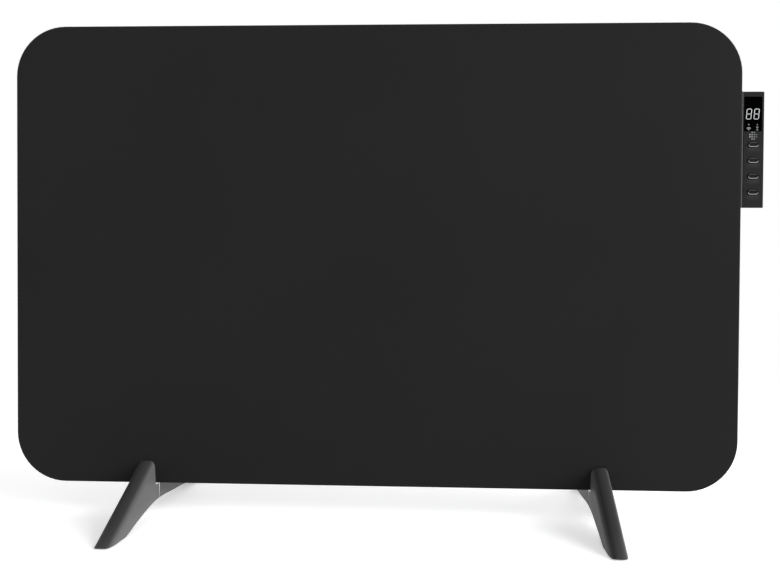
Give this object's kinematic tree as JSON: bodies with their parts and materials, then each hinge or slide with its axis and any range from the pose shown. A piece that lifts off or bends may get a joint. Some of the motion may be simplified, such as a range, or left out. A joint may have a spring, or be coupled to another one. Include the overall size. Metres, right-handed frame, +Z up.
{
  "type": "infrared panel heater",
  "caption": "Infrared panel heater: a flat rounded metal panel on forked feet, with a side control box that has a digital display and push buttons.",
  "frame": {"origin": "on the floor under the middle of the heater's bounding box, control box and feet included", "axes": "+Z up, the panel faces -Y, +X towards the control box (the viewer's right)"},
  "size_m": [0.906, 0.297, 0.6],
  "materials": {
    "panel_coat": "satin near-black powder coat",
    "cover_coat": "matte dark powder coat",
    "box_plastic": "fine-textured charcoal plastic",
    "trim_grey": "light grey moulded strip",
    "black_window": "glossy black display window",
    "button_plastic": "satin dark plastic",
    "leg_plastic": "satin dark grey plastic",
    "zinc_steel": "bright zinc plate",
    "dark_steel": "black zinc plate",
    "brass": "turned brass",
    "copper_strip": "copper foil strip",
    "rubber": "matte black rubber",
    "carbon_film": "printed carbon film",
    "foil": "aluminium foil",
    "mineral_wool": "pressed mineral wool",
    "circuit_green": "green circuit board",
    "component_black": "black component body",
    "component_white": "white component body",
    "wire_red": "silicone wire insulation",
    "light_guide": "frosted clear plastic",
    "fuse_glass": "clear glass tube"
  },
  "bodies": {
    "heater": {"front_panel": "panel_coat", "heating_film": "carbon_film", "busbars": "copper_strip", "reflector_foil": "foil", "insulation_board": "mineral_wool", "mounting_rails": "zinc_steel", "rear_cover": "cover_coat", "rear_cover_screws": "dark_steel", "wall_inserts": "zinc_steel", "thermal_cutouts": "component_white", "heater_leads": "wire_red", "lead_grommet": "rubber", "control_front_shell": "box_plastic", "edge_trim": "trim_grey", "display_window": "black_window", "control_base": "box_plastic", "control_rear_cover": "box_plastic", "case_screws": "dark_steel", "base_screws": "zinc_steel", "display_board": "circuit_green", "power_board": "circuit_green", "board_screws": "zinc_steel", "digit_display": "light_guide", "indicator_leds": "light_guide", "dot_light_guide": "light_guide", "digit_segments": "light_guide", "indicator_icons": "light_guide", "tact_switches": "component_black", "buzzer": "component_black", "wireless_module": "zinc_steel", "room_sensor": "component_black", "power_supply": "component_black", "relay": "component_black", "capacitor": "component_white", "terminal_block": "component_white", "fuse": "fuse_glass", "cable_gland": "box_plastic", "gland_nuts": "box_plastic", "tilt_housing": "component_white", "tilt_pin": "zinc_steel", "tilt_microswitch": "component_black", "left_front_leg": "leg_plastic", "left_rear_leg": "leg_plastic", "left_foot_bracket": "zinc_steel", "right_front_leg": "leg_plastic", "right_rear_leg": "leg_plastic", "right_foot_bracket": "zinc_steel", "bracket_screws": "dark_steel", "clinch_nuts": "zinc_steel", "leg_bolts": "dark_steel", "leg_inserts": "brass", "clamp_pads": "rubber", "sole_pads": "rubber"},
    "power_button": {"power_button": "button_plastic"},
    "up_button": {"up_button": "button_plastic"},
    "down_button": {"down_button": "button_plastic"},
    "timer_button": {"timer_button": "button_plastic"},
    "tilt_pendulum": {"tilt_pendulum": "brass"}
  },
  "joints": [
    {"name": "power_press", "type": "slide", "parent": "heater", "child": "power_button", "axis": [0, 1, 0], "range_m": [0, 0.0008], "stiffness_N_per_m": 300, "springref_m": -0.001},
    {"name": "up_press", "type": "slide", "parent": "heater", "child": "up_button", "axis": [0, 1, 0], "range_m": [0, 0.0008], "stiffness_N_per_m": 300, "springref_m": -0.001},
    {"name": "down_press", "type": "slide", "parent": "heater", "child": "down_button", "axis": [0, 1, 0], "range_m": [0, 0.0008], "stiffness_N_per_m": 300, "springref_m": -0.001},
    {"name": "timer_press", "type": "slide", "parent": "heater", "child": "timer_button", "axis": [0, 1, 0], "range_m": [0, 0.0008], "stiffness_N_per_m": 300, "springref_m": -0.001},
    {"name": "tilt_swing", "type": "hinge", "parent": "heater", "child": "tilt_pendulum", "pos_m": [0.4368, 0.0075, 0.41611], "axis": [1, 0, 0], "range_deg": [-20, 20]}
  ]
}
